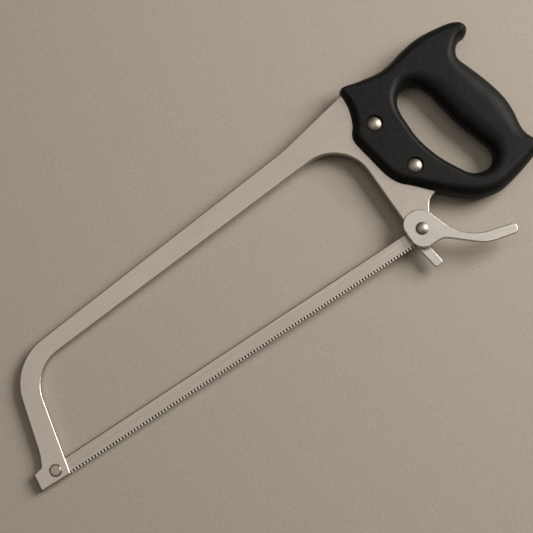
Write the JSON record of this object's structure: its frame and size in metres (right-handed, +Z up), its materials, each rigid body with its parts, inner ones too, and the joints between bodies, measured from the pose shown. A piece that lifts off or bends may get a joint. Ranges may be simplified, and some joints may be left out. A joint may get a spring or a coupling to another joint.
{
  "type": "butcher saw",
  "caption": "Butcher's bow saw with a flat steel frame, closed black handle, fine-toothed blade and a quick-release cam lever behind the blade.",
  "frame": {"origin": "middle of the base of the whole saw's box, as it lies on its side", "axes": "+X along the blade from the toe to the handle, +Y from the teeth to the back of the bow, +Z up through the saw's thickness, out of the side with the lever"},
  "size_m": [0.596, 0.2176, 0.0286],
  "materials": {
    "frame_steel": "satin brushed stainless steel with fine long scratches",
    "lever_steel": "satin brushed stainless steel",
    "blade_steel": "rolled steel strip, filed bright at the teeth",
    "fastener_steel": "polished stainless steel",
    "handle_plastic": "fine-grained black polypropylene"
  },
  "bodies": {
    "frame": {"frame": "frame_steel", "handle_near_half": "handle_plastic", "handle_far_half": "handle_plastic", "handle_post_front": "fastener_steel", "handle_post_rear": "fastener_steel", "handle_screw_front": "fastener_steel", "handle_screw_rear": "fastener_steel", "blade_post": "fastener_steel", "blade_post_screw": "fastener_steel", "lever_stop_pin": "fastener_steel"},
    "lever": {"tension_lever": "lever_steel", "thrust_washer": "fastener_steel", "pivot_bolt": "fastener_steel", "tension_cam": "lever_steel", "pivot_washer": "fastener_steel", "spring_washer": "fastener_steel", "pivot_nut": "fastener_steel"},
    "hook": {"blade_hook": "lever_steel"},
    "blade": {"saw_blade": "blade_steel", "blade_pin": "fastener_steel"}
  },
  "joints": [
    {"name": "lever_pivot", "type": "hinge", "parent": "frame", "child": "lever", "pos_m": [0.14175, -0.05516, 0.014], "axis": [0, 0, 1], "range_deg": [-120, 0]},
    {"name": "hook_follow", "type": "hinge", "parent": "lever", "child": "hook", "pos_m": [0.14333, -0.05488, 0.014], "axis": [0, 0, 1], "range_deg": [0, 120]},
    {"name": "blade_swing", "type": "hinge", "parent": "frame", "child": "blade", "pos_m": [-0.27705, -0.05516, 0.014], "axis": [0, 0, 1], "range_deg": [0, 12]}
  ],
  "couplings": [
    {"joint": "hook_follow", "follows": "lever_pivot", "ratio": -1}
  ]
}
